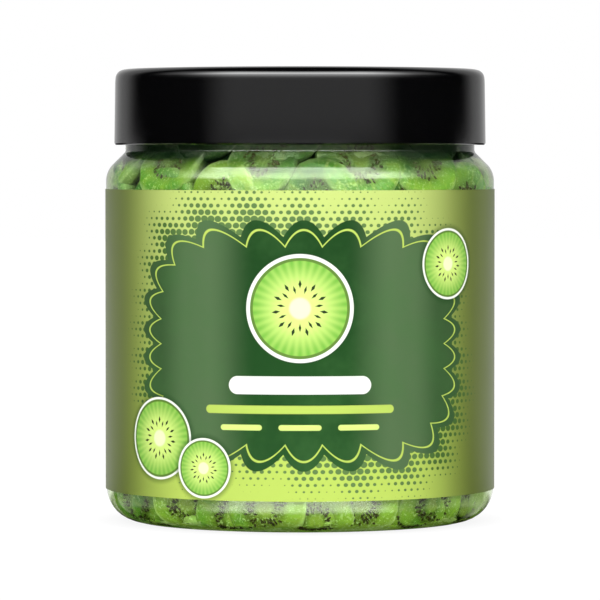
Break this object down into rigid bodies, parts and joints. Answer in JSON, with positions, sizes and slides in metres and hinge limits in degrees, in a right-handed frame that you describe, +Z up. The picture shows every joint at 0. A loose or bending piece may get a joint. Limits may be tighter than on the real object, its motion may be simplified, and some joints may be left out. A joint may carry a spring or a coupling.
{
  "type": "jar of dried kiwi slices",
  "caption": "Shut clear plastic jar with a wide black screw lid and a green wrap label, filled with dried kiwi slices that show above and below the label.",
  "frame": {"origin": "centre of the foot, on the surface that the jar stands on", "axes": "+Z up along the jar's axis, -Y towards the front of the label"},
  "size_m": [0.1082, 0.1082, 0.125],
  "materials": {
    "clear_plastic": "clear glossy PET plastic",
    "lid_plastic": "black, glossy",
    "label_print": "printed film, lime and dark green, satin",
    "dried_kiwi": "moist translucent fruit with a sugary surface"
  },
  "bodies": {
    "root": {"jar": "clear_plastic", "lid": "lid_plastic", "label": "label_print", "slices": "dried_kiwi"}
  },
  "joints": []
}
